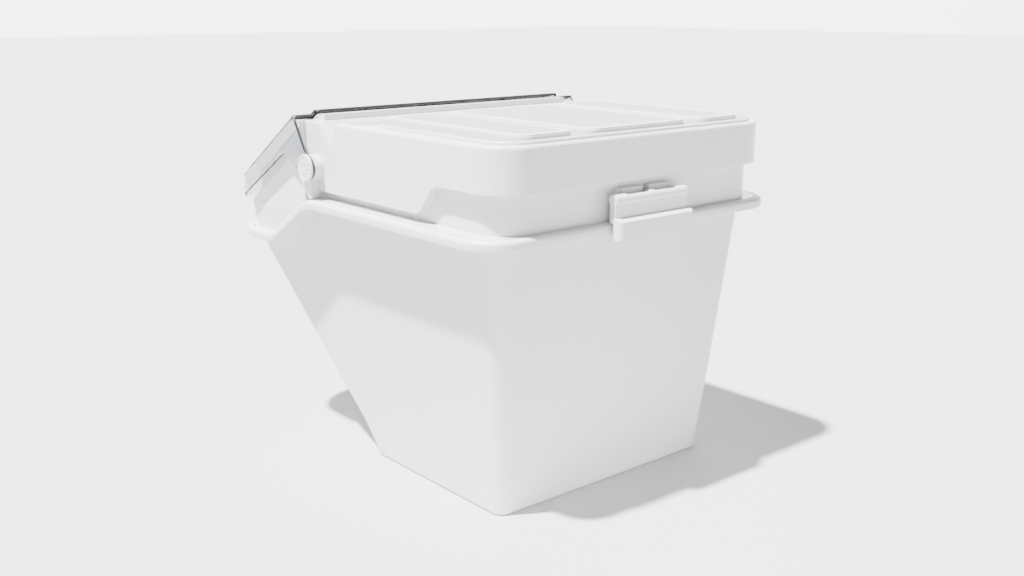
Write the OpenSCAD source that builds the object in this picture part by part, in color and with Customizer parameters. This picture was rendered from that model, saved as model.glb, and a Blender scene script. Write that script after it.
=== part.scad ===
// Rice bin with a sloping front, a fixed cover with a spout, a clear flip lid
// over the spout and a snap latch at the back. Millimetres, +Z up, front at -Y.

/* [Bin body] */
// Width of the base
base_w = 280.4; // [250:0.2:310]
// Depth of the base
base_d = 207; // [190:1:224]
// Corner radius of the base in plan
base_r = 12.5; // [9:0.5:18]
// Height of the steep toe under the sloping front wall
toe_h = 31; // [26:0.5:38]
// How far the toe leans forward over its height
toe_lean = 21.6; // [14:0.1:24]
// Lean of the front wall above the toe, degrees from vertical
front_lean = 45.8; // [44:0.1:47]
// Height where the front wall turns steep again under the rim's nose
brow_z = 201; // [196:1:206]
// Lean of the front wall from there up, degrees
brow_lean = 12; // [4:1:20]
// Draft of the side and back walls, degrees
wall_draft = 5.4; // [5:0.1:5.6]
// Corner radius of the body at the rim in plan
top_r = 18; // [14:0.5:22]
// Wall thickness of the body
body_wall = 2.8; // [2:0.1:4]
// Floor thickness of the body
floor_t = 3.4; // [2:0.1:5]

/* [Rim] */
// Height of the level part of the rim
rim_z = 275.5; // [270:0.5:282]
// Drop of the rim's nose below its level part
nose_drop = 47.2; // [44:0.1:50]
// Slope of the rim between the level part and the nose, degrees
rim_slope = 32.2; // [30:0.1:34]
// Distance of the top bend of the rim in front of the base's back edge
rim_bend_y = 247.8; // [244:0.2:252]
// Overhang of the rim past the body's side, at the level part
rim_side = 25.3; // [24:0.1:27]
// Overhang of the rim past the body's back wall, at the level part
rim_rear = 20.3; // [19.5:0.1:21]
// Overhang of the rim past the body's front wall, at the nose
rim_nose = 7.8; // [7:0.1:10]
// Corner radius of the rim in plan
rim_r = 39; // [34:1:44]
// Corner radius of the rim's nose in plan
nose_r = 58; // [50:1:66]
// Height of the rim bead
bead_h = 10.3; // [8.5:0.1:12]
// Width of the raised bead along the rim's outer edge
bead_w = 7.2; // [6:0.1:9]
// Thickness of the rim's plate and of its turned-down lip
lip_t = 3; // [2:0.1:3.6]

/* [Cover] */
// Wall thickness of the cover
cover_wall = 2.6; // [2:0.1:3.2]
// Inset of the neck's sides from the rim's edge
neck_in = 23; // [21:0.5:25]
// Inset of the neck's back from the rim's edge
neck_rear_in = 10.5; // [10:0.1:12]
// Inset of the upper box's sides from the rim's edge
box_in = 13.5; // [13:0.1:15]
// Inset of the upper box's back from the rim's edge
box_rear_in = 1.3; // [1:0.1:3]
// Corner radius of the upper box in plan
box_r = 38; // [30:1:42]
// Height of the upper box's top above the rim
box_h = 78; // [76:0.5:81]
// Rounding of the box's top edge
box_round = 3.6; // [3:0.1:6]
// Height of the overhanging wall round the back
over_h = 41.5; // [38:0.5:44]
// Height of the deep side skirts
skirt_h = 70; // [66:0.5:72]
// Top of the step from skirt to overhang, in front of the base's back edge
step_y = 45; // [38:1:50]
// Length of that step along the side
step_l = 22; // [16:1:30]
// Drop of the front block's top below the box's top
block_drop = 1.2; // [0.5:0.1:3]
// Front edge of the block's top, in front of the base's back edge
block_front = 265; // [262:1:266]
// Front edge of the groove across the cover
groove_front = 235; // [233:1:238]
// Deepest line of the groove
groove_mid = 214; // [211:1:216]
// Back edge of the groove
groove_back = 204; // [202:1:205]
// Depth of the groove
groove_depth = 22.5; // [18:0.5:26]
// Thickness of the flange that sits on the bin's rim
flange_t = 3; // [2:0.1:4]
// Depth of the plug skirt inside the bin's mouth
plug_h = 9; // [5:1:14]

/* [Spout] */
// Inset of the spout's sides from the rim's edge, at their foot
spout_in = 12.5; // [12:0.1:13.5]
// Inset of the spout's sides from the rim's edge, at their top
spout_top_in = 10; // [9:0.1:11]
// Setback of the spout's front face from the rim's nose
spout_setback = 39.5; // [38.5:0.5:42]
// Corner radius of the spout in plan
spout_r = 8; // [6:0.5:12]
// Forward lean of the spout's front face, degrees
spout_lean = 8; // [5:0.5:8.5]
// Width of the step round the outside of the mouth
mouth_step = 7.5; // [6:0.5:9]
// Depth of that step
mouth_drop = 24; // [20:0.5:25]
// Width of the lip round the mouth
mouth_lip = 5; // [4:0.5:8]

/* [Cover top] */
// Height of the platform above the box's top
platform_h = 2.5; // [1:0.5:4]
// Inset of the platform from the box's sides
platform_in = 11.5; // [8:0.5:15]
// Front of the platform, in front of the base's back edge
platform_front = 163; // [150:1:180]
// Height of the three pads above the platform
pad_h = 4.4; // [2:0.2:5]
// Width of the middle pad
pad_mid_w = 132; // [120:1:140]
// Width of each side pad
pad_side_w = 63; // [56:1:66]
// Channel between two pads
pad_gap = 14; // [8:1:18]
// Length of the pads from front to back
pad_l = 205; // [190:1:208]
// Corner radius of the pads
pad_r = 14; // [6:1:20]
// Inset of the crest bar's ends from the box's sides
crest_in = 15; // [14:1:24]
// Thickness of the crest bar
crest_t = 12; // [6:0.5:13]
// Height of the crest bar above the front block
crest_h = 5.5; // [3:0.5:6]

/* [Flip lid] */
// Inset of the flip lid's sides from the rim's edge
lid_in = 1; // [0.5:0.1:1.5]
// Wall thickness of the flip lid
lid_wall = 2.6; // [2:0.1:3]
// How far the lid's panel laps over the front edge of the cover's block
lid_lap = 0.8; // [0.4:0.1:1.4]
// Height of the panel's outer face above the block, at its back edge
lid_rise = 5.6; // [5.2:0.1:6.2]
// Slope of the lid's panel, degrees
lid_pitch = 32.4; // [31.5:0.1:33]
// How far the lid's skirt stands in front of the spout's front face
lid_reach = 7.5; // [7:0.5:10]
// Depth of the lid's front skirt
lid_skirt = 20.7; // [19:0.1:24]
// Depth of the side flanges, square to the panel
lid_flange = 22.3; // [18:0.1:25]
// Corner radius of the lid's nose in plan
lid_r = 11; // [8:0.5:16]
// Width of the panel's low ear at each side of its raised middle
lid_ear = 23; // [18:0.5:30]
// Height of the raised middle above the panel's ears
lid_mid_h = 3.4; // [2:0.2:5]
// Pivot of the lid in front of the base's back edge
pivot_y = 240.7; // [239:0.1:242]
// Depth of the pivot under the panel's back edge
pivot_drop = 50.3; // [49:0.1:52]
// Radius of the round end of each arm
arm_r = 12.6; // [11:0.2:13.4]

/* [Pivot buttons] */
// Radius of the button's head
button_r = 13.5; // [11:0.1:14.5]
// Thickness of the button's head
button_t = 2.2; // [1.6:0.1:3]
// Depth of the rings in the button's head
ring_d = 0.6; // [0.3:0.1:1]
// Width of those rings
ring_w = 1.2; // [0.8:0.1:2]
// Radius of the button's shank
shank_r = 4; // [3:0.1:5]
// Running clearance round the shank in the arm
shank_fit = 0.05; // [0.02:0.01:0.1]
// Clearance between moving faces
gap = 0.5; // [0.4:0.05:0.7]

/* [Latch] */
// Width of the latch
latch_w = 94; // [80:1:106]
// Distance of the latch's hinge axis behind the rim
latch_axis_out = 0.7; // [0.5:0.1:1.1]
// Height of the latch's hinge axis above the rim
latch_rise = 21.3; // [20.5:0.1:22.5]
// Radius of the rod the latch turns on
rod_r = 1.7; // [1.5:0.1:1.8]
// Running clearance round that rod
rod_fit = 0.05; // [0.03:0.01:0.1]
// Radius of the latch's top bar
bar_r = 5.4; // [5:0.1:5.6]
// Distance of the top bar's outer face behind the rim
bar_out = 6.3; // [6.1:0.1:7]
// Depth of the shallow panel under the top bar
latch_recess = 1.8; // [1:0.1:2.2]
// Thickness of the latch's walls
latch_t = 2.8; // [2:0.1:3.2]
// Height above the rim where the grip leaves the panel
shoulder_rise = 5.5; // [3.5:0.5:7.5]
// Drop of the grip's top from the panel to its outer face
shoulder_drop = 2.8; // [1:0.1:5]
// How far the grip stands past the latch at each end
grip_end = 2.7; // [0:0.1:5]
// Corner radius of the grip in plan
grip_r = 5.5; // [3:0.5:7]
// How far the grip hangs below the rim
grip_drop = 14.5; // [13.5:0.5:18.5]
// Distance of the grip's outer face behind the rim
grip_reach = 13.2; // [11:0.1:15]
// Width of the hook that passes under the rim's bead
hook_w = 76; // [50:1:80]
// Width of each lug on the cover
lug_w = 28; // [20:1:32]
// Space between the two lugs
lug_gap = 8; // [6:0.5:14]
// Height of the lugs' tops above the latch's hinge axis
lug_rise = 8.6; // [6:0.1:11]

/* [Hidden] */
$fn = 64;
eps = 0.01;
far = 500;
// How far two shapes run into each other where they are joined or cut
join = 1;

// Heights, all carried by the rim
nose_z = rim_z - nose_drop;
box_top = rim_z + box_h;
over_z = box_top - over_h;
skirt_z = box_top - skirt_h;
block_top = box_top - block_drop;
groove_z = box_top - groove_depth;
lid_back_z = block_top + lid_rise;
pivot_z = lid_back_z - pivot_drop;
latch_z = rim_z + latch_rise;
shoulder_z = rim_z + shoulder_rise;
grip_z = rim_z - grip_drop;
lug_top = latch_z + lug_rise;

// Body
toe_front = base_d + toe_lean;
toe_r = base_r + 2;
brow_front = toe_front + (brow_z - toe_h) * tan(front_lean);
brow_r = base_r + (top_r - base_r) * brow_z / rim_z;
body_top_front = brow_front + (rim_z - brow_z) * tan(brow_lean);

// Rim
rim_w = base_w + 2 * rim_z * tan(wall_draft) + 2 * rim_side;
rim_back = rim_z * tan(wall_draft) + rim_rear;
rim_front = brow_front + (nose_z - brow_z) * tan(brow_lean) + rim_nose;
rim_foot_y = rim_bend_y + (rim_z - nose_z) / tan(rim_slope);
top_blend = 17;
foot_blend = 6;
blend_n = 8;
ledge_w = rim_w - 2 * bead_w;
ledge_back = rim_back - bead_w;
ledge_front = rim_front - bead_w;
ledge_r = rim_r - bead_w;
ledge_nose_r = nose_r - bead_w;

// Lid: its outline, the tangent of its slope, and thicknesses measured upright
lid_w = rim_w - 2 * lid_in;
lid_mid_w = lid_w - 2 * lid_ear;
lid_back = block_front - lid_lap;
lid_front = rim_front - spout_setback + lid_reach;
lid_slope = tan(lid_pitch);
lid_v = lid_wall * sqrt(1 + lid_slope * lid_slope);
lid_flange_v = lid_flange * sqrt(1 + lid_slope * lid_slope);
lid_mid_v = lid_mid_h * sqrt(1 + lid_slope * lid_slope);
lid_skirt_z = lid_z(lid_front) - lid_skirt;
lid_corner_r = 8;
flange_back = 285;
mid_setback = 1.4;

// Cover
neck_w = rim_w - 2 * neck_in;
neck_back = rim_back - neck_rear_in;
neck_r = 30;
box_w = rim_w - 2 * box_in;
box_back = rim_back - box_rear_in;
spout_w = rim_w - 2 * spout_in;
spout_top_w = rim_w - 2 * spout_top_in;
spout_front = rim_front - spout_setback;
plug_play = 1;
plug_w = base_w + 2 * (nose_z - flange_t - plug_h) * tan(wall_draft)
    - 2 * (body_wall + plug_play);
plug_back = (rim_z - flange_t - plug_h) * tan(wall_draft) - body_wall - plug_play;
plug_front = spout_front - plug_play;
plug_r = top_r - body_wall;
step_blend = 9;
groove_round = 4;
crest_front = 259;
mouth_play = 2.4;
throat_lap = 12;
spout_lap = 4;
spout_tail = spout_lap - block_front;
spout_top = lid_z(spout_front + spout_lap) - lid_v - mouth_play - mouth_drop;
spout_top_front = spout_front + (spout_top - nose_z) * tan(spout_lean);
boss_face = lid_w / 2 - lid_wall - gap;
boss_r = arm_r;
bore_l = boss_face - box_w / 2;
shank_l = lid_wall + gap + bore_l;
ring_radii = [button_r - 2 * ring_w, button_r - 5.5 * ring_w];

// Web of the pivot's boss: from the pivot back, down to the rim, and forward
web_back = 3.5;
web_foot_back = 2;
web_foot_front = 3;
web_front = 22;
web_drop = 11;
web_foot_z = rim_z + 0.4;

// Top
platform_w = box_w - 2 * platform_in;
crest_w = box_w - 2 * crest_in;
pad_side_x = pad_mid_w / 2 + pad_gap + pad_side_w / 2;
pad_setback = 8;
top_edge = 0.6;
platform_r = 30;
pad_front = platform_front + pad_setback;
platform_back = box_back - box_round - top_edge;
pad_top = box_top + platform_h + pad_h;

// Latch
latch_y = rim_back + latch_axis_out;
latch_out = rim_back + bar_out;
grip_out = rim_back + grip_reach;
grip_w = latch_w + 2 * grip_end;
bar_corner = 4.5;
latch_back = latch_y - latch_t - join;
grip_t = 9;
grip_in = grip_out - grip_t;
hook_reach = 2.8;
hook_in = rim_back - hook_reach;
hook_top = rim_z - bead_h - 2 * gap;
hook_t = 3.8;
hook_tip = 1.6;
rest_in = rim_back + gap;
panel_out = latch_out - latch_recess;
lug_r = 2.9;
lug_out = latch_y + lug_r;
lug_step = 4.8;
lug_step_y = latch_y - lug_step;
lug_slot = 1.2;
clear_z = 0.8;

// Height of the panel's outer face at a distance y in front of the base's back edge
function lid_z(y) = lid_back_z - (y - lid_back) * lid_slope;

// Points of a smooth bend at corner c, from a towards b, leaving the legs at distance d
function unit(v) = v / norm(v);
function bend(a, c, b, d, n) = let(p = c + unit(a - c) * d, q = c + unit(b - c) * d)
    [for (i = [0:n]) let(t = i / n) (1 - t) * (1 - t) * p + 2 * t * (1 - t) * c + t * t * q];

// Side view of the rim's top line, from the back to the nose, lowered by drop
function rim_line(drop) =
    let(back = [far, rim_z - drop], c1 = [-rim_bend_y, rim_z - drop],
        c2 = [-rim_foot_y, nose_z - drop], front = [-far, nose_z - drop])
    concat([back], bend(back, c1, c2, top_blend, blend_n),
           bend(c1, c2, front, foot_blend, blend_n), [front]);
function reversed(p) = [for (i = [len(p) - 1:-1:0]) p[i]];

// Y of the whole part's centre, so that the origin is the middle of its bounding box
part_back = grip_out;
part_front = rim_front;
centre_y = (part_back - part_front) / 2;

// Puts the origin under the middle of the part
module placed() { translate([0, -centre_y, 0]) children(); }

// Extrudes a side view (x is Y, y is Z) across the width, from x0 to x1
module across(x0, x1) {
    translate([x0, 0, 0]) rotate([90, 0, 90]) linear_extrude(x1 - x0) children();
}

// Rectangle in plan with rounded corners: rf at the front, rb at the back, 0 for square
module plan(w, front, back, rf, rb) {
    translate([-w / 2, -front + rf]) square([w, front + back - rf - rb]);
    if (rf > 0) plan_end(w, rf, -front + rf, -front);
    if (rb > 0) plan_end(w, rb, back - rb, back - rb - eps);
}

// Rounded end of that rectangle: two corners centred at y and a strip from y0 between them
module plan_end(w, r, y, y0) {
    translate([-w / 2 + r, y0]) square([w - 2 * r, r + eps]);
    for (s = [-1, 1])
        translate([s * (w / 2 - r), y]) circle(r);
}

// Upright block with a rounded plan
module block(w, front, back, rf, rb, z0, z1) {
    translate([0, 0, z0]) linear_extrude(z1 - z0) plan(w, front, back, rf, rb);
}

// Everything between the rim's top line lowered by d0 and the line lowered by d1
module rim_band(d0, d1) {
    across(-far, far) polygon(concat(rim_line(d0), reversed(rim_line(d1))));
}

// Everything under the rim's top line lowered by d
module under_rim(d) {
    across(-far, far) polygon(concat(rim_line(d), [[-far, -far], [far, -far]]));
}

// Plan of the tub at height z, smaller by t on every side and carried up to height z1
module slice(front, r, z, z1, t) {
    block(base_w + 2 * z * tan(wall_draft) - 2 * t, front - t, z * tan(wall_draft) - t,
          r - t, r - t, z, z1, $fn = 32);
}

// The tub's solid shape, smaller by t on every side and standing on floor z0
module tub(t, z0) {
    hull() {
        slice(base_d + toe_lean * z0 / toe_h, base_r, z0, toe_h, t);
        slice(toe_front, toe_r, toe_h, toe_h + join, t);
    }
    hull() {
        slice(toe_front, toe_r, toe_h, rim_z, t);
        slice(brow_front, brow_r, brow_z, rim_z, t);
        slice(body_top_front, top_r, rim_z, rim_z + join, t);
    }
}

// Tub with a sloping front and an outward rim that steps down to a low nose
module bin_body() {
    placed() color("white") difference() {
        union() {
            intersection() {
                tub(0, 0);
                under_rim(flange_t);
            }
            difference() {
                intersection() {
                    block(rim_w, rim_front, rim_back, nose_r, rim_r, 0, rim_z + join);
                    rim_band(0, bead_h);
                }
                intersection() {
                    block(rim_w - 2 * lip_t, rim_front - lip_t, rim_back - lip_t,
                          nose_r - lip_t, rim_r - lip_t, 0, rim_z + join);
                    rim_band(flange_t + lip_t, bead_h + join);
                }
                intersection() {
                    block(ledge_w, ledge_front, ledge_back, ledge_nose_r, ledge_r,
                          0, rim_z + 2 * join);
                    rim_band(-join, flange_t);
                }
            }
        }
        tub(body_wall, floor_t);
    }
}

// Side view of the upper box: overhang at the back, deep skirts in front, groove on top
module box_side() {
    a = [-step_y + step_blend, over_z];
    b = [-step_y - step_l / 2, (over_z + skirt_z) / 2];
    c = [-step_y - step_l - step_blend, skirt_z];
    polygon(concat([[far, over_z]],
        bend(a, [-step_y, over_z], b, step_blend, blend_n),
        bend(b, [-step_y - step_l, skirt_z], c, step_blend, blend_n),
        [[-block_front, skirt_z], [-block_front, block_top], [-groove_front, block_top],
         [-groove_mid, groove_z], [-groove_back, box_top - groove_round],
         [-groove_back + groove_round, box_top], [far, box_top]]));
}

// Side view of the hollow under the box's top, down to the overhang
module box_side_inside() {
    t = cover_wall;
    polygon([[box_back - t, over_z - join], [box_back - t, box_top - t],
             [-groove_back + t, box_top - t], [-groove_mid + t, groove_z - t],
             [-groove_mid - t, groove_z - t], [-groove_front - t, block_top - t],
             [-block_front + t, block_top - t], [-block_front + t, over_z - join]]);
}

// Upper box with a rounded top edge
module upper_box() {
    intersection() {
        across(-box_w / 2, box_w / 2) box_side();
        union() {
            block(box_w, block_front, box_back, 0, box_r, 0, box_top - box_round);
            hull()
                for (a = [0:22.5:90])
                    box_layer(box_round * sin(a), box_round * (1 - cos(a)));
        }
    }
}

// Layer of the box's top that ends h above the start of the rounding, drawn in by t
module box_layer(h, t) {
    block(box_w - 2 * t, block_front, box_back - t, 0, box_r - t,
          box_top - box_round - join, box_top - box_round + h, $fn = 40);
}

// Space above the lid's slope lowered by d, in front of the box
module above_slope(d) {
    across(-far, far) polygon([[-far, lid_z(far) - d],
                               [-block_front, lid_z(block_front) - d],
                               [-block_front, far], [-far, far]]);
}

// Outer shape of the spout, with a step round its sloping mouth
module spout() {
    drop = lid_v + mouth_play;
    difference() {
        hull() {
            block(spout_w, spout_front, spout_tail, spout_r, 0, nose_z - join, spout_top,
                  $fn = 40);
            block(spout_top_w, spout_top_front, spout_tail, spout_r, 0,
                  spout_top, block_top - join, $fn = 40);
        }
        above_slope(drop);
        difference() {
            above_slope(drop + mouth_drop);
            block(spout_top_w - 2 * mouth_step, spout_top_front - mouth_step, 0,
                  spout_r, 0, 0, far);
        }
        under_rim(eps);
    }
}

// Hollow of the spout and its open mouth
module spout_inside() {
    w = spout_top_w - 2 * mouth_step - 2 * mouth_lip;
    front = spout_top_front - mouth_step - mouth_lip;
    intersection() {
        block(w, front, -block_front - mouth_lip, spout_r, mouth_lip, 0, far);
        across(-far, far) polygon([[-far, 0], [0, 0], [0, block_top - cover_wall],
                                   [-block_front, far], [-far, far]]);
    }
    block(w, front, throat_lap - block_front, spout_r, mouth_lip, 0, over_z);
}

// Boss beside the box that carries the lid's pivot, tapering down to the rim
module pivot_boss(side) {
    mirror([side < 0 ? 1 : 0, 0, 0]) difference() {
        across(box_w / 2 - cover_wall, boss_face) {
            translate([-pivot_y, pivot_z]) circle(boss_r);
            polygon([[-pivot_y + web_back, pivot_z], [-pivot_y + web_foot_back, web_foot_z],
                     [-pivot_y - web_foot_front, web_foot_z],
                     [-pivot_y - web_front, pivot_z - web_drop],
                     [-pivot_y - boss_r * 0.9, pivot_z - boss_r * 0.25]]);
        }
        translate([boss_face - bore_l, -pivot_y, pivot_z]) rotate([0, 90, 0])
            cylinder(h = bore_l + join, r = shank_r);
    }
}

// Three pads on a low platform, drawn in by t and lowered by t for their underside
module pads(t) {
    translate([0, 0, -t]) {
        block(platform_w - 2 * t, platform_front - t, platform_back - t,
              platform_r, platform_r, box_top - join, box_top + platform_h);
        for (x = [-pad_side_x, 0, pad_side_x])
            translate([x, 0, 0])
                block((x == 0 ? pad_mid_w : pad_side_w) - 2 * t, pad_front - t,
                      pad_l - pad_front - t, pad_r - t, pad_r - t, box_top - join, pad_top);
    }
}

// Bar across the front block, just behind the flip lid
module crest() {
    translate([-crest_w / 2, -crest_front, block_top - eps]) cube([crest_w, crest_t, crest_h]);
}

// Two lugs on the neck; the latch's rod snaps into them from outside
module latch_lugs() {
    for (s = [-1, 1])
        translate([s * (lug_w + lug_gap) / 2 - lug_w / 2, 0, 0]) difference() {
            across(0, lug_w) {
                translate([latch_y, latch_z]) circle(lug_r);
                polygon([[neck_back - cover_wall, latch_z - lug_r], [latch_y, latch_z - lug_r],
                         [latch_y, latch_z + lug_r], [lug_step_y, latch_z + lug_r],
                         [lug_step_y, lug_top], [neck_back - cover_wall, lug_top]]);
            }
            translate([-join, latch_y, latch_z]) rotate([0, 90, 0])
                cylinder(h = lug_w + 2 * join, r = rod_r + rod_fit);
            translate([-join, latch_y, latch_z - lug_slot])
                cube([lug_w + 2 * join, far, 2 * lug_slot]);
        }
}

// Plan of the plug skirt, drawn in by t, between two heights
module plug_block(t, z0, z1) {
    block(plug_w - 2 * t, plug_front - t, plug_back - t, spout_r - t, plug_r - t, z0, z1);
}

// Skirt that drops inside the bin's mouth and keeps the cover in place
module plug() {
    difference() {
        intersection() {
            plug_block(0, 0, rim_z);
            rim_band(flange_t - eps, flange_t + plug_h);
        }
        plug_block(cover_wall, 0, rim_z + join);
    }
}

// Moulded cover: hollow box, neck, spout, flange and plug in one piece
module cover() {
    t = cover_wall;
    placed() color("white") union() {
        difference() {
            union() {
                upper_box();
                difference() {
                    block(neck_w, block_front, neck_back, 0, neck_r, nose_z, over_z + t);
                    under_rim(eps);
                }
                spout();
                pads(0);
                intersection() {
                    block(ledge_w - 2 * gap, ledge_front - gap, ledge_back - gap,
                          ledge_nose_r - gap, ledge_r - gap, 0, rim_z + join);
                    rim_band(0, flange_t);
                }
            }
            intersection() {
                across(-box_w / 2 + t, box_w / 2 - t) box_side_inside();
                block(box_w - 2 * t, far, box_back - t, 0, box_r - t, over_z + t, box_top);
            }
            pads(t);
            plug_block(t, 0, rim_z + join);
            difference() {
                union() {
                    block(neck_w - 2 * t, block_front - t, neck_back - t, 0, neck_r - t,
                          0, over_z + 2 * t);
                    spout_inside();
                }
                under_rim(eps);
            }
        }
        crest();
        pivot_boss(1);
        pivot_boss(-1);
        latch_lugs();
        plug();
    }
}

// Side view of the lid: panel, rounded nose, skirt, side flange and arm
module lid_side() {
    back = [-lid_back, lid_z(lid_back)];
    nose = [-lid_front, lid_z(lid_front)];
    low = [-lid_front, lid_skirt_z];
    polygon(concat([back], bend(back, nose, low, lid_corner_r, blend_n),
        [low, [-lid_front + lid_wall, lid_skirt_z],
         [-flange_back, lid_z(flange_back) - lid_flange_v],
         [-pivot_y - arm_r * 0.8, pivot_z - arm_r * 0.6], [-pivot_y, pivot_z + arm_r]]));
}

// Space under the lid's panel, drawn in by its wall
module lid_inside() {
    t = lid_wall;
    intersection() {
        block(lid_w - 2 * t, lid_front - t, far, lid_r - t, 0, 0, far);
        across(-far, far) polygon([[-far, 0], [-far, lid_z(far) - lid_v],
                                   [0, lid_z(0) - lid_v], [0, 0]]);
    }
}

// Raised middle of the panel, lowered by d and drawn in by t
module lid_middle(d, t) {
    back = lid_back + mid_setback - 2 * t;
    intersection() {
        across(-lid_mid_w / 2 + t, lid_mid_w / 2 - t)
            polygon([[-back, lid_z(lid_back) - d - lid_v],
                     [-back, lid_z(back) + lid_mid_v - d],
                     [-lid_front, lid_z(lid_front) + lid_mid_v - d],
                     [-lid_front, lid_z(lid_front) - lid_v - d]]);
        block(lid_w, lid_front - t, 0, lid_r, 0, 0, far);
    }
}

// Clear lid over the spout's mouth: stepped panel, skirt, side flanges and arms
module flip_lid() {
    placed() color("gainsboro", 0.4) difference() {
        union() {
            intersection() {
                across(-lid_w / 2, lid_w / 2) lid_side();
                block(lid_w, lid_front, 0, lid_r, 0, 0, far);
            }
            lid_middle(0, 0);
            for (s = [-1, 1])
                translate([s * (lid_w - lid_wall) / 2, -pivot_y, pivot_z]) rotate([0, 90, 0])
                    cylinder(h = lid_wall, r = arm_r, center = true);
        }
        lid_inside();
        lid_middle(lid_v, lid_wall);
        translate([0, -pivot_y, pivot_z]) rotate([0, 90, 0])
            cylinder(h = far, r = shank_r + shank_fit, center = true);
    }
}

// Push-in pivot with a ringed head
module pivot_button(side) {
    placed() color("white") mirror([side < 0 ? 1 : 0, 0, 0])
        translate([lid_w / 2 + gap, -pivot_y, pivot_z]) rotate([0, 90, 0]) difference() {
            union() {
                cylinder(h = button_t, r = button_r);
                translate([0, 0, -shank_l]) cylinder(h = shank_l + eps, r = shank_r);
            }
            for (r = ring_radii)
                translate([0, 0, button_t - ring_d]) difference() {
                    cylinder(h = join, r = r);
                    cylinder(h = 3 * join, r = r - ring_w, center = true);
                }
        }
}

module pivot_button_left() { pivot_button(-1); }
module pivot_button_right() { pivot_button(1); }

// Side view of the latch's upper part: top bar and shallow panel
module bar_side() {
    translate([latch_out - bar_r, latch_z]) circle(bar_r);
    polygon([[latch_back, rim_z + clear_z], [latch_back, latch_z],
             [latch_out - 2 * bar_r, latch_z], [panel_out, latch_z],
             [panel_out, rim_z + clear_z]]);
}

// Side view of the grip: a shelf that falls outwards, then an upright face
module grip_side() {
    polygon([[panel_out - latch_t, rim_z + clear_z], [panel_out - latch_t, shoulder_z],
             [panel_out, shoulder_z], [grip_out, shoulder_z - shoulder_drop],
             [grip_out, grip_z], [grip_in, grip_z], [grip_in, rim_z + clear_z]]);
}

// Front view of the latch's upper part, with rounded top corners
module latch_front() {
    top = latch_z + bar_r + join;
    rotate([90, 0, 180]) linear_extrude(far) {
        translate([-latch_w / 2, 0]) square([latch_w, top - bar_corner]);
        translate([-latch_w / 2 + bar_corner, 0]) square([latch_w - 2 * bar_corner, top]);
        for (x = [-1, 1])
            translate([x * (latch_w / 2 - bar_corner), top - bar_corner]) circle(bar_corner);
    }
}

// Hook under the bead and the face that rests against it
module hook_side() {
    polygon([[grip_in + join, hook_top - hook_t], [grip_in + join, rim_z], [rest_in, rim_z],
             [rest_in, hook_top], [hook_in, hook_top], [hook_in, hook_top - hook_t + hook_tip],
             [hook_in + hook_tip, hook_top - hook_t]]);
}

// Snap latch with a built-in rod across two windows at the top
module rear_latch() {
    placed() color("white") union() {
        difference() {
            union() {
                intersection() {
                    across(-latch_w / 2, latch_w / 2) bar_side();
                    latch_front();
                }
                intersection() {
                    across(-grip_w / 2, grip_w / 2) grip_side();
                    rotate(180) block(grip_w, grip_out, 0, grip_r, 0, 0, far);
                }
            }
            translate([-latch_w / 2 + latch_t, 0, shoulder_z + latch_t])
                cube([latch_w - 2 * latch_t, panel_out - latch_t,
                      latch_z - bar_r - shoulder_z - latch_t]);
            for (s = [-1, 1])
                translate([s * (lug_w + lug_gap) / 2 - lug_w / 2 - gap, 0,
                           latch_z - lug_r - gap])
                    cube([lug_w + 2 * gap, lug_out + gap, far]);
        }
        across(-hook_w / 2, hook_w / 2) hook_side();
        translate([0, latch_y, latch_z]) rotate([0, 90, 0])
            cylinder(h = latch_w - 2 * bar_corner, r = rod_r, center = true);
    }
}

bin_body();
cover();
flip_lid();
pivot_button_left();
pivot_button_right();
rear_latch();
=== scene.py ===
# %% [markdown]
# # A rice bin with a flip lid
#
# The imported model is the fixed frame: a tub, a moulded cover, a clear lid that turns on two
# push-in pivots, and a snap latch at the back. The frame carries the joints. This script
# gives each piece its finish, and remakes as smooth surfaces the pieces whose soft edges
# catch the light.

import bmesh
import bpy
import numpy as np
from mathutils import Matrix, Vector


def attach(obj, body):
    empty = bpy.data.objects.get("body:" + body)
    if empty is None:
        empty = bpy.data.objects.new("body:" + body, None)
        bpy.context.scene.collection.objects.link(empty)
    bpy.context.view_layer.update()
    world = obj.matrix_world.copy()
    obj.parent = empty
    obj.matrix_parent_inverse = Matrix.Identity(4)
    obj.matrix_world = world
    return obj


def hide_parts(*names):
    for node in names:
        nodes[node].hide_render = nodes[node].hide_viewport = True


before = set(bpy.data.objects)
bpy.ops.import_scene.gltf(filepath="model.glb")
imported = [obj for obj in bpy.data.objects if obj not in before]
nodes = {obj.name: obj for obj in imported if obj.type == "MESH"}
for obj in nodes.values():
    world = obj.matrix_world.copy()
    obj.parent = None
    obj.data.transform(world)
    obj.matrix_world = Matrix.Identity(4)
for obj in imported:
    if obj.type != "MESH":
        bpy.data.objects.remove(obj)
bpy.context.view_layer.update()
print("nodes:", sorted(nodes))

# %% [markdown]
# ## The camera
#
# The bin is seen from behind and from its right, a little above the rim. The direction is an
# azimuth round the bin and an elevation above the floor, and the lens is a plain short
# telephoto. The camera looks along one axis, so its rotation comes from that vector.

# %% Camera
CAMERA_AT = (0.7573, 0.9300, 0.4710)
CAMERA_AZIMUTH = 139.918
CAMERA_ELEVATION = 14.333
CAMERA_LENS = 39.80

azimuth, elevation = np.radians([CAMERA_AZIMUTH, CAMERA_ELEVATION])
backwards = Vector((np.sin(azimuth) * np.cos(elevation), -np.cos(azimuth) * np.cos(elevation),
                    np.sin(elevation)))
camera_data = bpy.data.cameras.new("camera")
camera_data.lens = CAMERA_LENS
camera = bpy.data.objects.new("camera", camera_data)
camera.location = CAMERA_AT
camera.rotation_euler = (-backwards).to_track_quat("-Z", "Y").to_euler()
bpy.context.scene.collection.objects.link(camera)
bpy.context.scene.camera = camera

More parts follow.
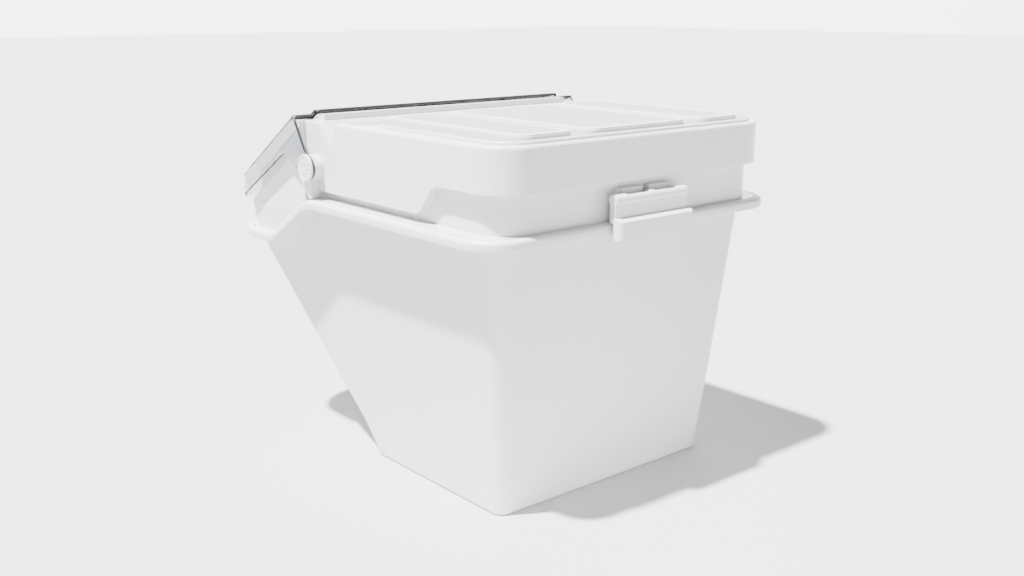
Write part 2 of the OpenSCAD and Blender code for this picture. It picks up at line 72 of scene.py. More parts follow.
# %% [markdown]
# ## Moulded plastics
#
# Every hard piece here is injection-moulded. The tub is a satin white, the cover a glossier
# one, and both have the same three things: a faint unevenness of gloss where the melt cooled
# at different speeds, a fine grain too small to see as a pattern, and edges that are never
# quite sharp. A Bevel node rounds the normals near each edge, which is cheaper than cutting
# thousands of tiny faces, and noise in Object coordinates does the rest.

# %% Moulded plastic material
EDGE_RADIUS = 0.0011
SCATTER_REACH = (0.006, 0.005, 0.004)
COAT_GLOSS = 0.12
PLASTIC_IOR = 1.5
CLOUD_SCALE, GRAIN_SCALE = 9, 1400
GLOSS_SPREAD = 0.05
TINT_SPREAD = 0.985
GRAIN_STRENGTH = 0.02


def plain_material(name, colour, roughness):
    """A material of one colour and one gloss, and the shader that takes any more settings."""
    material = bpy.data.materials.new(name)
    material.use_nodes = True
    shader = material.node_tree.nodes["Principled BSDF"]
    shader.inputs["Base Color"].default_value = (*colour, 1)
    shader.inputs["Roughness"].default_value = roughness
    return material, shader


def moulded_plastic(name, colour, roughness, scatter, coat, grain_depth=0.0002):
    """White plastic: base colour, light scattering inside, uneven gloss and soft edges."""
    material = bpy.data.materials.new(name)
    material.use_nodes = True
    tree = material.node_tree
    shader = tree.nodes["Principled BSDF"]
    shader.inputs["Subsurface Weight"].default_value = scatter
    shader.inputs["Subsurface Radius"].default_value = SCATTER_REACH
    shader.inputs["IOR"].default_value = PLASTIC_IOR
    shader.inputs["Coat Weight"].default_value = coat
    shader.inputs["Coat Roughness"].default_value = COAT_GLOSS

    place = tree.nodes.new("ShaderNodeTexCoord")
    cloud = tree.nodes.new("ShaderNodeTexNoise")
    cloud.inputs["Scale"].default_value = CLOUD_SCALE
    cloud.inputs["Detail"].default_value = 3
    tree.links.new(place.outputs["Object"], cloud.inputs["Vector"])

    gloss = tree.nodes.new("ShaderNodeMapRange")
    gloss.inputs["To Min"].default_value = roughness - GLOSS_SPREAD
    gloss.inputs["To Max"].default_value = roughness + GLOSS_SPREAD
    tree.links.new(cloud.outputs["Fac"], gloss.inputs["Value"])
    tree.links.new(gloss.outputs["Result"], shader.inputs["Roughness"])

    tint = tree.nodes.new("ShaderNodeMix")
    tint.data_type = "RGBA"
    tint.inputs[6].default_value = (*[c * TINT_SPREAD for c in colour], 1)
    tint.inputs[7].default_value = (*colour, 1)
    tree.links.new(cloud.outputs["Fac"], tint.inputs[0])
    tree.links.new(tint.outputs[2], shader.inputs["Base Color"])

    soft_edge = tree.nodes.new("ShaderNodeBevel")
    soft_edge.samples = 6
    soft_edge.inputs["Radius"].default_value = EDGE_RADIUS
    grain = tree.nodes.new("ShaderNodeTexNoise")
    grain.inputs["Scale"].default_value = GRAIN_SCALE
    grain.inputs["Detail"].default_value = 2
    tree.links.new(place.outputs["Object"], grain.inputs["Vector"])
    bump = tree.nodes.new("ShaderNodeBump")
    bump.inputs["Strength"].default_value = GRAIN_STRENGTH
    bump.inputs["Distance"].default_value = grain_depth
    tree.links.new(grain.outputs["Fac"], bump.inputs["Height"])
    tree.links.new(soft_edge.outputs["Normal"], bump.inputs["Normal"])
    tree.links.new(bump.outputs["Normal"], shader.inputs["Normal"])
    return material


def wear(node_name, material):
    """Puts a material on a CAD node's slots, leaving its mesh alone."""
    thing = nodes[node_name]
    if not thing.material_slots:
        thing.data.materials.append(material)
    for material_slot in thing.material_slots:
        material_slot.material = material


satin_white = moulded_plastic("satin_white", (0.60, 0.60, 0.60), 0.42, 0.15, 0.0)
glossy_white = moulded_plastic("glossy_white", (0.62, 0.62, 0.62), 0.26, 0.15, 0.25)
# The frosted top's grey is painted shade: a colour darker than the cover's white, standing in for
# the weaker reflection on the frosted pads and the front patch.
frosted_shaded_top = moulded_plastic("frosted_shaded_top", (0.30, 0.303, 0.307), 0.5, 0.05, 0.0, 0.0008)
wear("bin_body", satin_white)
for cover_part in ("cover", "rear_latch", "pivot_button_left", "pivot_button_right"):
    wear(cover_part, glossy_white)

# %% [markdown]
# ## Plans, lines and loops
#
# A moulded bin is almost all rounded rectangles stacked on each other. So one function gives
# the loop round a rounded rectangle, with the same number of points whatever its size, and
# another joins a stack of such loops into a skin. Dimensions are in millimetres from the
# middle of the base's back edge, as a pattern maker would write them, and the last step turns
# them into metres in the frame's place.

# %% Loops round a rounded rectangle
BASE_BACK_Y = 178.738
CORNER_POINTS = 14
SIDE_POINTS = 110
END_POINTS = 16
LOOP_POINTS = 2 * (2 * END_POINTS + 2 * CORNER_POINTS + SIDE_POINTS)
MERGE_REACH = 2e-6


def plan_loop(width, front, back, front_r, back_r):
    """Loops round rounded rectangles, one row for each entry of the arguments.

    The half at +X runs along the back, round the back corner, along the side, round the
    front corner and along the front. Straight parts divide their length evenly, and corners
    divide the quarter circle evenly. The half at -X is its mirror image.
    """
    w, f, b, rf, rb = (v[:, None] for v in np.broadcast_arrays(
        *[np.atleast_1d(np.asarray(v, float)) for v in (width, front, back, front_r, back_r)]))
    h = w / 2
    end = np.linspace(0, 1, END_POINTS, endpoint=False)
    side = np.linspace(0, 1, SIDE_POINTS, endpoint=False)
    turn = np.linspace(0, np.pi / 2, CORNER_POINTS, endpoint=False)
    last = np.linspace(0, 1, END_POINTS + 1)
    x = [end * (h - rb), h - rb + rb * np.sin(turn), h + 0 * side,
         h - rf + rf * np.cos(turn), (1 - last) * (h - rf)]
    y = [b + 0 * end, b - rb + rb * np.cos(turn), (b - rb) * (1 - side) - (f - rf) * side,
         -f + rf - rf * np.sin(turn), -f + 0 * last]
    x, y = np.concatenate(x, 1), np.concatenate(y, 1)
    return np.concatenate([x, -x[:, -2:0:-1]], 1), np.concatenate([y, y[:, -2:0:-1]], 1)


def loft(rows, cap_start=False, cap_end=False, closed_rows=False):
    """Vertices and quads of a stack of closed loops.

    rows has the shape (rows, points, 3). Each quad joins two neighbours on two rows, a cap
    closes an end with one face, and closed_rows joins the last row to the first.
    """
    count, points = rows.shape[:2]
    k = np.arange(count if closed_rows else count - 1)[:, None]
    i = np.arange(points)[None, :]
    here, there = k * points, ((k + 1) % count) * points
    quads = np.stack([here + i, here + (i + 1) % points,
                      there + (i + 1) % points, there + i], -1)
    faces = quads.reshape(-1, 4).tolist()
    if cap_start:
        faces.append(list(range(points))[::-1])
    if cap_end:
        faces.append(list(range((count - 1) * points, count * points)))
    return rows.reshape(-1, 3), faces


def make_piece(name, parts, materials, body, sharp=35):
    """A mesh object in its place, from (points, faces, material number) parts.

    Points are turned from millimetres into metres in the frame. Doubles are merged, normals
    are turned outwards, and edges sharper than the given angle stay crisp.
    """
    points, faces, numbers, count = [], [], [], 0
    for part_points, part_faces, number in parts:
        points.append(part_points)
        faces += [[v + count for v in face] for face in part_faces]
        numbers += [number] * len(part_faces)
        count += len(part_points)
    place = (np.concatenate(points) + np.array([0, BASE_BACK_Y, 0])) / 1000
    mesh = bpy.data.meshes.new(name)
    mesh.from_pydata(place.tolist(), [], faces)
    mesh.polygons.foreach_set("material_index", numbers)
    build = bmesh.new()
    build.from_mesh(mesh)
    bmesh.ops.remove_doubles(build, verts=build.verts, dist=MERGE_REACH)
    bmesh.ops.recalc_face_normals(build, faces=build.faces)
    build.to_mesh(mesh)
    build.free()
    mesh.shade_smooth()
    mesh.set_sharp_from_angle(angle=np.radians(sharp))
    for material in materials:
        mesh.materials.append(material)
    thing = bpy.data.objects.new(name, mesh)
    bpy.context.scene.collection.objects.link(thing)
    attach(thing, body)
    print(name, "has", len(mesh.polygons), "faces")
    return thing

# %% [markdown]
# ## The rim's line
#
# Seen from the side, the rim runs level along the back, bends down a slope and ends in a low
# nose under the spout. The tub, the cover's flange and the neck all follow this one line. It
# is two straight bends rounded off as parabolas, which numpy can interpolate once it is
# sampled finely.

# %% The rim's line seen from the side
RIM_Z = 275.5
NOSE_Z = 228.3
RIM_SLOPE = 32.2
RIM_BEND_Y = -247.8
RIM_FOOT_Y = RIM_BEND_Y - (RIM_Z - NOSE_Z) / np.tan(np.radians(RIM_SLOPE))
PAST_BACK_Y, PAST_NOSE_Y = 100, -500
BEND_REACH, FOOT_REACH = 17, 6


def round_bend(a, corner, b, reach, steps=24):
    """A corner rounded as a parabola that leaves both legs at the distance reach."""
    a, corner, b = map(np.array, (a, corner, b))
    start = corner + (a - corner) / np.linalg.norm(a - corner) * reach
    end = corner + (b - corner) / np.linalg.norm(b - corner) * reach
    t = np.linspace(0, 1, steps)[:, None]
    return (1 - t) ** 2 * start + 2 * t * (1 - t) * corner + t ** 2 * end


rim_path = np.concatenate([
    [(PAST_BACK_Y, RIM_Z)],
    round_bend((PAST_BACK_Y, RIM_Z), (RIM_BEND_Y, RIM_Z), (RIM_FOOT_Y, NOSE_Z), BEND_REACH),
    round_bend((RIM_BEND_Y, RIM_Z), (RIM_FOOT_Y, NOSE_Z), (PAST_NOSE_Y, NOSE_Z), FOOT_REACH),
    [(PAST_NOSE_Y, NOSE_Z)]])


def rim_height(y):
    """Height of the rim's top over the place y, read off the rounded line."""
    return np.interp(y, rim_path[::-1, 0], rim_path[::-1, 1])


print("the rim falls", RIM_Z - NOSE_Z, "mm from back to nose")

# %% [markdown]
# ## The tub
#
# The tub is one shell: walls that lean out on every side, a front that leans out in three
# slopes, and a rim that turns outwards, carries the cover on a ledge and ends in a rolled
# bead. A sculptor would loft it, and so does this cell: one loop after another is carried
# from the middle of the floor, up the outside, round the rim and back down the inside, so the
# wall has its real thickness and the whole tub is a single closed skin.

# %% Plan of the tub at any height
BASE_W, BASE_D, BASE_R = 280.4, 207, 12.5
DRAFT = np.tan(np.radians(5.4))
TOE_Z, TOE_LEAN = 31, 21.6
BROW_Z = 201
FRONT_LEAN, BROW_LEAN = np.tan(np.radians([45.8, 12]))
TUB_TOP_R = 18
TUB_WALL, TUB_FLOOR = 2.8, 3.4
PAST_RIM = 100
RIM_TRIES = 30
SLOPE_REACH = 9

foot = (0, BASE_D)
toe = (TOE_Z, BASE_D + TOE_LEAN)
brow = (BROW_Z, toe[1] + (BROW_Z - TOE_Z) * FRONT_LEAN)
past_rim = (BROW_Z + PAST_RIM, brow[1] + PAST_RIM * BROW_LEAN)
front_line = np.concatenate([[foot], round_bend(foot, toe, brow, SLOPE_REACH),
                             round_bend(toe, brow, past_rim, SLOPE_REACH), [past_rim]])


def tub_loop(z, inset):
    """The tub's loop with its points at the heights z, drawn in by inset.

    Every point's plan is the rounded rectangle at its own height, so a loop may climb and
    fall with the rim and still lie on the wall.
    """
    z = np.broadcast_to(z, (LOOP_POINTS,))
    front = np.interp(z, front_line[:, 0], front_line[:, 1])
    corner = BASE_R + (TUB_TOP_R - BASE_R) * z / RIM_Z - inset
    x, y = plan_loop(BASE_W + 2 * z * DRAFT - 2 * inset, front - inset, z * DRAFT - inset,
                     corner, corner)
    at = np.arange(LOOP_POINTS)
    return np.stack([x[at, at], y[at, at], z], 1)


def under_rim(drop, inset):
    """The wall's loop that lies a given drop under the rim's line, found by repetition."""
    z = np.full(LOOP_POINTS, RIM_Z - drop)
    for _ in range(RIM_TRIES):
        z = rim_height(tub_loop(z, inset)[:, 1]) - drop
    return tub_loop(z, inset)


def between(low, high, share, inset):
    """A loop of the wall at a share of the way up from one loop to another."""
    return tub_loop(low[:, 2] * (1 - share) + high[:, 2] * share, inset)


print("loops of", LOOP_POINTS, "points")

# %% [markdown]
# ## The rolled bead
#
# The bead is what the eye follows round the bin, so its section is drawn with care: an
# upright outer face with a large rounding at its top, a small one at its foot, and a
# rounded inner edge next to the cover's flange. The section is a list of places (distance in
# from the edge, height over the rim's line), and each place is swept round the rim's plan.

# %% Rim section
RIM_W, RIM_BACK, RIM_FRONT = 383.1, 46.35, 417.0
RIM_R, NOSE_R = 39, 58
BEAD_H, BEAD_W, LIP = 10.3, 7.2, 3


def arc(centre, radius, start, end, steps=7):
    """Places along part of a circle, from one angle to another in degrees."""
    turn = np.radians(np.linspace(start, end, steps))
    return np.stack([centre[0] + radius * np.cos(turn), centre[1] + radius * np.sin(turn)], 1)


rim_section = np.concatenate([
    [(14, -6), (LIP + 2, -6)],
    arc((LIP + 1.5, -7.5), 1.5, 90, 180, 4),
    [(LIP, -BEAD_H + 1)],
    arc((LIP - 1, -BEAD_H + 1), 1, 0, -90, 4),
    arc((1.6, -BEAD_H + 1.6), 1.6, -90, -180, 5),
    arc((4.4, -4.4), 4.4, 180, 90, 10),
    arc((BEAD_W - 1.6, -1.6), 1.6, 90, 0, 5),
    arc((BEAD_W + 0.8, -2.2), 0.8, 180, 270, 4),
    [(14, -3)]])


def rim_loop(inset, over):
    """The loop round the rim, drawn in by inset and lifted over its line."""
    x, y = plan_loop(RIM_W - 2 * inset, RIM_FRONT - inset, RIM_BACK - inset,
                     NOSE_R - inset, RIM_R - inset)
    return np.stack([x[0], y[0], rim_height(y[0]) + over], 1)


print("the rim's section has", len(rim_section), "places")

# %% [markdown]
# ## The tub's skin
#
# The real tub is moulded in one shot, so its floor, walls and rim are one piece of plastic. The
# floor could be a plate with the walls joined to it, but then a seam would show at the foot.
# Here the floor is a loop shrunk towards its middle, and the same skin carries on round the
# foot, with more loops where the front changes its slope.

# %% Tub shell
FOOT_R = 3.0
RIM_DROP, LEDGE_DROP = 6, 3.2
SILL_Z = 12
WALL_STEPS = (80, 120, 160)
SLOPE_STEP = 8
FLOOR_MIDDLE = 0.02


def tub_foot(share, inset, floor):
    """A loop round the floor, shrunk to a share of its size."""
    loop = tub_loop(floor, inset)
    middle = np.array([0, -BASE_D / 2, 0])
    return (loop - middle) * np.array([share, share, 1]) + middle


outer_top = under_rim(RIM_DROP, 0)
inner_top = under_rim(LEDGE_DROP, TUB_WALL)
foot_turn = np.radians(np.linspace(90, 0, 6))
toe_steps = np.linspace(TOE_Z - SLOPE_STEP, TOE_Z + SLOPE_STEP, 6)
brow_steps = np.linspace(BROW_Z - SLOPE_STEP, BROW_Z + SLOPE_STEP, 6)
tub_rows = [tub_foot(share, 0, 0) for share in (FLOOR_MIDDLE, 0.5, 0.97)]
tub_rows += [tub_loop(FOOT_R * (1 - np.sin(t)), FOOT_R * (1 - np.cos(t))) for t in foot_turn]
tub_rows += [tub_loop(z, 0) for z in (SILL_Z, *toe_steps, *WALL_STEPS, *brow_steps)]
tub_rows += [between(tub_loop(BROW_Z + SLOPE_REACH, 0), outer_top, share, 0)
             for share in (0.25, 0.5, 0.75, 1)]
tub_rows += [rim_loop(*place) for place in rim_section]
tub_rows += [inner_top, between(tub_loop(BROW_Z, 0), inner_top, 0.5, TUB_WALL)]
tub_rows += [tub_loop(z, TUB_WALL)
             for z in (BROW_Z, *WALL_STEPS[::-1], TOE_Z, SILL_Z)]
tub_rows += [tub_foot(share, TUB_WALL, TUB_FLOOR) for share in (1, 0.5, FLOOR_MIDDLE)]
tub = make_piece("tub_shell", [(*loft(np.array(tub_rows), True, True), 0)], [satin_white],
                 "bin")
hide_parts("bin_body")

# %% [markdown]
# ## The flip lid
#
# The lid is a clear, slightly smoky moulding. Its panel has a low ear at each end and a
# raised middle, a rounded nose turns down into a skirt, and a cheek hangs from each end and
# grows into the arm that holds the pivot. It could be a solid with the inside cut away. It is
# one skin instead, thickened by a Solidify modifier, because the modifier knows which faces
# are the sheet's edges. Clear plastic looks nearly black there, and those faces get their
# own material, a near-black colour painted on as shade.

# %% Clear material and its edges
CLEAR_IOR = 1.49

clear, clear_shader = plain_material("smoky_clear", (0.64, 0.66, 0.68), 0.04)
clear_shader.inputs["Transmission Weight"].default_value = 1.0
clear_shader.inputs["IOR"].default_value = CLEAR_IOR
# The sheet's edge faces are painted near-black as shade; the clear plastic there has no such
# colour of its own.
clear_edge_shade = plain_material("clear_edge_shade", (0.02, 0.02, 0.025), 0.3)[0]
wear("flip_lid", clear)

# %% [markdown]
# ## The lid's measures
#
# Seen from the side, the real lid is one bent sheet: a straight slope, a rounded nose and a
# short upright skirt. That line could be drawn point by point. It is worked out from a slope
# and a few lengths instead, so the raised middle is the same line lifted, and the cheeks start
# where the panel ends. The sheet is drawn thinner than the imported lid's wall, as clear plastic
# looks, and the edge face, painted dark as shade, stays narrow.

# %% Lid measures
LID_W = 381.1
LID_BACK, LID_BACK_Z = 264.2, 357.9
LID_FRONT = 385.0
LID_ANGLE = np.radians(32.4)
LID_SLOPE = np.tan(LID_ANGLE)
LID_WALL = 2.6
LID_SHEET = 2.0
LID_MIDDLE = 335.1 / 2
LID_LIFT = 3.4 / np.cos(LID_ANGLE)
LID_SKIRT = 20.7
LID_CORNER = 11
NOSE_SETBACK, NOSE_REACH = 10, 8
RISER = 2.2
PIVOT_Y, PIVOT_Z = 240.7, 307.6
ARM_R, BORE_R = 12.6, 4.05
CHEEK_STEPS = 13
CHEEK_AT, CHEEK_LOW = (250.8, 285), (300.0, 318.3)
ARM_TOP, ARM_END, RING_END = 90, -36.9, -270
EDGE_SOFT = 0.0009
SHARP_FROM = 50


def lid_height(d):
    """Height of the panel's outer face at the distance d in front of the base's back edge."""
    return LID_BACK_Z - (d - LID_BACK) * LID_SLOPE


LID_FOOT = (LID_FRONT, lid_height(LID_FRONT) - LID_SKIRT)


def lid_profile(lift):
    """Side view (d, z) of panel, nose and skirt, with the panel lifted."""
    nose = (LID_FRONT, lid_height(LID_FRONT) + lift)
    panel = np.linspace(LID_BACK, LID_FRONT - NOSE_SETBACK, 18)
    bent = round_bend((LID_BACK, lid_height(LID_BACK) + lift), nose, LID_FOOT, NOSE_REACH, 9)
    skirt = np.linspace(bent[-1], LID_FOOT, CHEEK_STEPS)[1:]
    return np.concatenate([np.stack([panel, lid_height(panel) + lift], 1), bent, skirt])


def half_width(d):
    """Half the lid's width at the distance d, rounded in plan at the nose."""
    into_corner = np.clip(d - (LID_FRONT - LID_CORNER), 0, LID_CORNER)
    return LID_W / 2 - LID_CORNER + np.sqrt(LID_CORNER ** 2 - into_corner ** 2)


def sheet(grid):
    """Vertices and quads of an open grid of points with the shape (rows, columns, 3)."""
    rows, columns = grid.shape[:2]
    first = np.arange(rows - 1)[:, None] * columns + np.arange(columns - 1)[None, :]
    quads = np.stack([first, first + 1, first + columns + 1, first + columns], -1)
    return grid.reshape(-1, 3), quads.reshape(-1, 4).tolist()


print("the skirt ends at", LID_FOOT)

# %% [markdown]
# The panel is a grid of two parameters. The first runs down the slope, round the nose and
# down the skirt. The second runs across: the ear, a short riser, and the raised middle. The
# ear's side view and the middle's side view are blended over the riser, so the step keeps its
# height all the way to the nose. The cheek is a row of upright lines, from the panel's side
# edge down to a lower edge given by its corners. The arm is a ruled strip from the last of
# those lines to an arc round the pivot, and a ring round the pivot's bore closes it.

# %% Lid skin
t = np.linspace(0, 1, 8)
ear, riser, middle = np.linspace(1, 0, 6), np.linspace(0, 1, 8)[1:-1], np.linspace(0, 1, 24)
across = np.concatenate([np.full(6, LID_MIDDLE), LID_MIDDLE - RISER * riser,
                         (LID_MIDDLE - RISER) * (1 - middle)])
outwards = np.concatenate([ear, 0 * riser, 0 * middle])
blend = np.concatenate([0 * ear, riser ** 2 * (3 - 2 * riser), 1 + 0 * middle])

low, high = lid_profile(0)[:, None], lid_profile(LID_LIFT)[:, None]
side_view = low * (1 - blend)[None, :, None] + high * blend[None, :, None]
d, z = side_view[..., 0], side_view[..., 1]
x = across + outwards * (half_width(d) - across)
panel = np.stack([x, -d, z], -1)

edge = panel[:-CHEEK_STEPS + 1, 0]
cheek_low = np.interp(-edge[:, 1], [*CHEEK_AT, LID_FRONT - LID_WALL, LID_FRONT],
                      [*CHEEK_LOW, LID_FOOT[1], LID_FOOT[1]])
down = np.linspace(0, 1, CHEEK_STEPS)[None, :]
cheek = np.stack(np.broadcast_arrays(edge[:, :1], edge[:, 1:2],
                                     edge[:, 2:] * (1 - down) + cheek_low[:, None] * down), -1)

arc_turn = np.radians(np.linspace(ARM_TOP, ARM_END, CHEEK_STEPS))
rest_turn = np.radians(np.linspace(ARM_END, RING_END, 25))


def round_pivot(turn, radius):
    """Points round the pivot on the cheek's outer face."""
    return np.stack(np.broadcast_arrays(LID_W / 2, -PIVOT_Y - radius * np.cos(turn),
                                        PIVOT_Z + radius * np.sin(turn)), -1)


arm = cheek[0] * (1 - t)[:, None, None] + round_pivot(arc_turn, ARM_R) * t[:, None, None]
ring_radius = np.linspace(ARM_R, BORE_R, 4)[:, None]
rings = [round_pivot(turn[None, :], ring_radius) for turn in (arc_turn, rest_turn)]

lid_parts = []
for side in (1, -1):
    for grid in (panel, cheek, arm, *rings):
        lid_parts.append((*sheet(grid * np.array([side, 1, 1])), 0))
lid = make_piece("lid_skin", lid_parts, [clear, clear_edge_shade], "flip_lid")
soften = lid.modifiers.new("soften", "BEVEL")
soften.width = EDGE_SOFT
soften.segments = 2
soften.limit_method = "ANGLE"
soften.angle_limit = np.radians(SHARP_FROM)
wall = lid.modifiers.new("wall", "SOLIDIFY")
wall.thickness = LID_SHEET / 1000
wall.offset = -1
wall.use_even_offset = True
# The sheet's rim faces take the second material, painted near-black as shade.
wall.material_offset_rim = 1
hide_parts("flip_lid")

# %% [markdown]
# ## Pivot caps
#
# Each pivot is a push-in cap with two rings and a plain moulded pattern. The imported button
# has flat rings, and its edge is too sharp for something a thumb presses in. The cap is a
# height map on a polar grid: a rounded rim, a sunk field, a ridge round its middle, and rings
# of small raised studs made from the cosine of the angle. The pattern is plain and says
# nothing.

# %% Pivot caps
BUTTON_R, BUTTON_T = 13.5, 2.2
BUTTON_FOOT = LID_W / 2 + 0.5
SHANK_R, SHANK_L = 4, 12.7
BUTTON_ROUND = 0.9
BUTTON_FLAT_R = BUTTON_R - BUTTON_ROUND
RELIEF, SUNK_DEPTH = 0.7, 0.8
SUNK_R, SUNK_SLOPE = BUTTON_R - 2.1, 0.18

turn = np.linspace(0, 2 * np.pi, 96, endpoint=False)
edge_turn = np.linspace(0.25, np.pi / 2, 6)
radius = np.concatenate([[0.3], np.linspace(1, BUTTON_FLAT_R, 44),
                         BUTTON_FLAT_R + BUTTON_ROUND * np.sin(edge_turn)])[:, None]
past_flat = np.clip(radius - BUTTON_R + BUTTON_ROUND, 0, BUTTON_ROUND)
rounded = np.sqrt(np.clip(BUTTON_ROUND ** 2 - past_flat ** 2, 0, None)) - BUTTON_ROUND


def ridge(place, width):
    """A round-topped ring: one at the place, falling to nothing a width away."""
    return np.clip(1 - ((radius - place) / width) ** 2, 0, 1)


dimples = ridge(8.3, 1.7) * np.clip(np.cos(12 * turn), 0, 1)[None, :] ** 2
studs = ridge(3.0, 1.6) * np.clip(np.cos(5 * turn + 0.5), 0, 1)[None, :]
sunk = SUNK_DEPTH / (1 + np.exp((radius - SUNK_R) / SUNK_SLOPE))
height = (BUTTON_T + rounded - sunk + RELIEF * ridge(5.6, 0.8) + RELIEF * dimples
          + RELIEF * studs)


def round_rows(x, r):
    """Circles round the pivot: radius r, at the place x across, one row for each radius."""
    return np.stack(np.broadcast_arrays(x, -PIVOT_Y + r * np.cos(turn),
                                        PIVOT_Z + r * np.sin(turn)), -1)


shank_x = np.array([[BUTTON_FOOT], [BUTTON_FOOT], [BUTTON_FOOT - SHANK_L]])
shank_r = np.array([[BUTTON_R], [SHANK_R], [SHANK_R]])
button_rows = np.concatenate([round_rows(BUTTON_FOOT + height, radius),
                              round_rows(shank_x, shank_r)])
for side, name in ((1, "pivot_button_right"), (-1, "pivot_button_left")):
    button = make_piece("cap_" + name, [(*loft(button_rows * np.array([side, 1, 1]), True, True),
                                         0)], [glossy_white], "bin")
    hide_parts(name)

# %% [markdown]
# ## Platform and pads
#
# The cover's top carries a low platform with three long pads. Their edges are broad and
# glossy and their tops are frosted, and that contrast is what the eye sees first; the tops are
# painted a darker grey than the cover, as painted shade where they reflect less light. The cover
# stays the imported one. Over it go soft caps a fraction of a millimetre thick: a profile
# (distance in from the edge, height) is carried round each pad's plan, and the frosted top
# is the last loop's cap with a material of its own, painted grey as shade. A thin front
# patch in that grey paints shade on the cover's top in front of the platform.

# %% Soft caps over the cover's top
BOX_TOP = 353.5
PLATFORM_TOP = 356.0
PAD_TOP = 360.4
SKIN = 0.4
PLATFORM_PLAN = (333.1, 163, 40.8, 30)
PLATFORM_ROUND, PLATFORM_FLAT_IN = 1.4, 6
PAD_FRONT, PAD_BACK, PAD_R = 171, 34, 14
PAD_MIDDLE_W, PAD_SIDE_W, PAD_SIDE_X = 132, 63, 111.5
PAD_ROUND = 2.6
FROST_DROP = 0.3
PATCH_PLAN = (344, 201, -166, 8)


def soft_cap(name, centre_x, plan, profile, frosted_shade_from):
    """A raised field with rounded edges, as loops drawn in and lifted along a profile.

    The loops are mostly flat rounded rectangles (width, front, back, corner radius). Loops
    after the place given by the last argument belong to the frosted top, painted a darker grey as
    shade.
    """
    width, front, back, corner = plan
    inset = profile[:, 0]
    x, y = plan_loop(width - 2 * inset, front - inset, back - inset, corner - inset,
                     corner - inset)
    rows = np.stack([x + centre_x, y, np.broadcast_to(profile[:, 1:], x.shape)], -1)
    edge_part = (*loft(rows[:frosted_shade_from + 1]), 0)
    top_part = (*loft(rows[frosted_shade_from:], False, True), 1)
    return make_piece(name, [edge_part, top_part], [glossy_white, frosted_shaded_top], "bin")


platform_profile = np.concatenate([
    [(-SKIN, BOX_TOP - 0.6)],
    arc((PLATFORM_ROUND - SKIN, PLATFORM_TOP - PLATFORM_ROUND + SKIN), PLATFORM_ROUND, 180, 90, 7),
    [(PLATFORM_FLAT_IN, PLATFORM_TOP + SKIN)]])
soft_cap("platform_cap", 0, PLATFORM_PLAN, platform_profile, 7)

pad_profile = np.concatenate([
    [(-SKIN, PLATFORM_TOP - 0.4)],
    arc((PAD_ROUND - SKIN, PAD_TOP - PAD_ROUND + SKIN), PAD_ROUND, 180, 90, 9),
    [(4.2, PAD_TOP + SKIN), (4.7, PAD_TOP + SKIN - FROST_DROP),
     (12, PAD_TOP + SKIN - FROST_DROP)]])
# Each pad's top takes the frosted material, painted grey as shade.
for name, centre_x, width in (("pad_left", -PAD_SIDE_X, PAD_SIDE_W),
                              ("pad_middle", 0, PAD_MIDDLE_W),
                              ("pad_right", PAD_SIDE_X, PAD_SIDE_W)):
    soft_cap(name, centre_x, (width, PAD_FRONT, PAD_BACK, PAD_R), pad_profile, 11)

# The front patch is a thin sheet painted grey as shade on the cover's top in front of the
# platform.
patch_profile = np.array([(0, BOX_TOP - 0.2), (0.1, BOX_TOP + 0.1), (0.5, BOX_TOP + 0.2),
                          (3, BOX_TOP + 0.2)])
soft_cap("front_patch", 0, PATCH_PLAN, patch_profile, 1)

# %% [markdown]
# ## Floor
#
# The bin stands on a plain pale floor that runs on far behind it. A curved backdrop would hide
# the far edge better, but a flat floor gives an even bounce into the shaded walls. The paint
# is a middle grey, because the key is strong and a paler floor would light those walls too
# much.

# %% Floor
FLOOR_REACH = 14.0

floor_mesh = bpy.data.meshes.new("floor")
floor_corners = FLOOR_REACH * np.array([(-1, -1, 0), (1, -1, 0), (1, 1, 0), (-1, 1, 0)])
floor_mesh.from_pydata(floor_corners.tolist(), [], [(0, 1, 2, 3)])
floor = bpy.data.objects.new("floor", floor_mesh)
bpy.context.scene.collection.objects.link(floor)
floor_mesh.materials.append(plain_material("floor_paint", (0.42, 0.42, 0.42), 0.7)[0])
print("the floor reaches", FLOOR_REACH, "m each way")

# %% [markdown]
# ## Light
#
# White plastic shows its shape only where light and shade differ a little. A key like a hazy
# sun stands high at the bin's right side. The walls lean outwards, so they lie in soft shade,
# while the top and the rounded edges catch the light. A low spot lifts the foot of the back
# wall. The room itself glows in front of the spout and is dim behind the bin, which a smooth
# step along one direction gives. Soft boxes could do the same, with more to place.

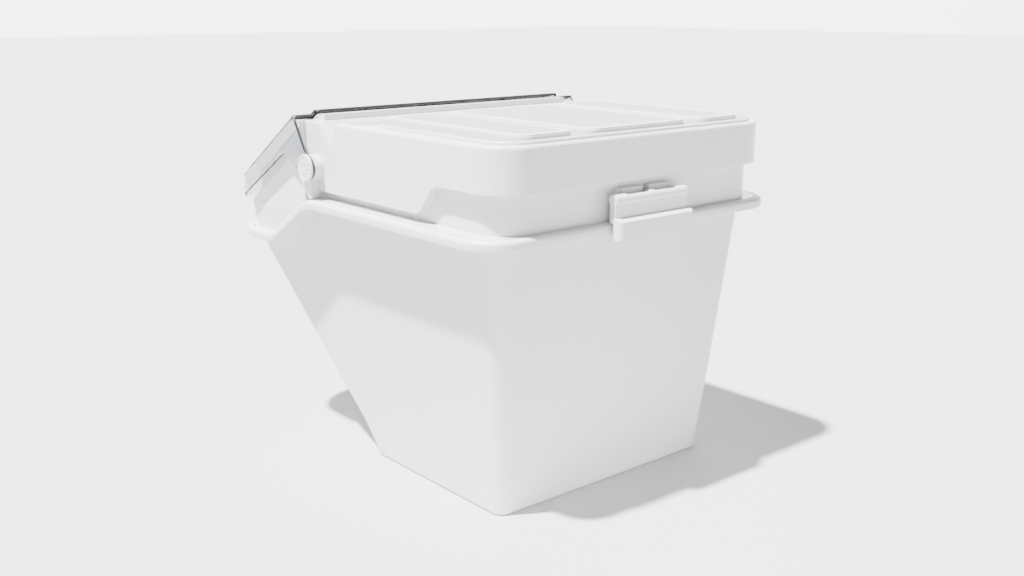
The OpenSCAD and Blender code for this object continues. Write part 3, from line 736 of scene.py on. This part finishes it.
# %% Light
KEY_FROM = (1.0, -0.2, 2.7)
KEY_BRIGHT, KEY_SPREAD = 30, 2.5
ROOM_TURN = (0.55, 0.83, 0.0)
ROOM_BRIGHT = 6.0
ROOM_DIM = 0.55
GLOW_ENDS = (-0.95, -0.4)
ROOM_COLOUR = (0.97, 0.98, 1.0, 1)
SPOT_AT = (0.75, 1.35, 0.42)
SPOT_TO = (0.06, 0.26, -0.11)
SPOT_POWER, SPOT_CONE, SPOT_SOFT = 400, 23, 0.25


def place_lamp(data, at, towards):
    """Puts a lamp in the scene and turns it to a point."""
    thing = bpy.data.objects.new(data.name, data)
    thing.location = at
    thing.rotation_euler = (Vector(towards) - Vector(at)).to_track_quat("-Z", "Y").to_euler()
    bpy.context.scene.collection.objects.link(thing)


key = bpy.data.lights.new("key", "SUN")
key.energy = KEY_BRIGHT
key.angle = np.radians(KEY_SPREAD)
place_lamp(key, KEY_FROM, (0, 0, 0))

low_spot = bpy.data.lights.new("low_spot", "SPOT")
low_spot.energy = SPOT_POWER
low_spot.spot_size = np.radians(SPOT_CONE)
low_spot.spot_blend = 1.0
low_spot.shadow_soft_size = SPOT_SOFT
place_lamp(low_spot, SPOT_AT, SPOT_TO)

world = bpy.data.worlds.new("studio")
world.use_nodes = True
world_tree = world.node_tree
direction = world_tree.nodes.new("ShaderNodeTexCoord")
towards_back = world_tree.nodes.new("ShaderNodeVectorMath")
towards_back.operation = "DOT_PRODUCT"
towards_back.inputs[1].default_value = ROOM_TURN
glow = world_tree.nodes.new("ShaderNodeMapRange")
glow.interpolation_type = "SMOOTHSTEP"
glow.inputs["From Min"].default_value, glow.inputs["From Max"].default_value = GLOW_ENDS
glow.inputs["To Min"].default_value = ROOM_BRIGHT
glow.inputs["To Max"].default_value = ROOM_DIM
background = world_tree.nodes["Background"]
background.inputs["Color"].default_value = ROOM_COLOUR
world_tree.links.new(direction.outputs["Generated"], towards_back.inputs[0])
world_tree.links.new(towards_back.outputs["Value"], glow.inputs["Value"])
world_tree.links.new(glow.outputs["Result"], background.inputs["Strength"])
bpy.context.scene.world = world
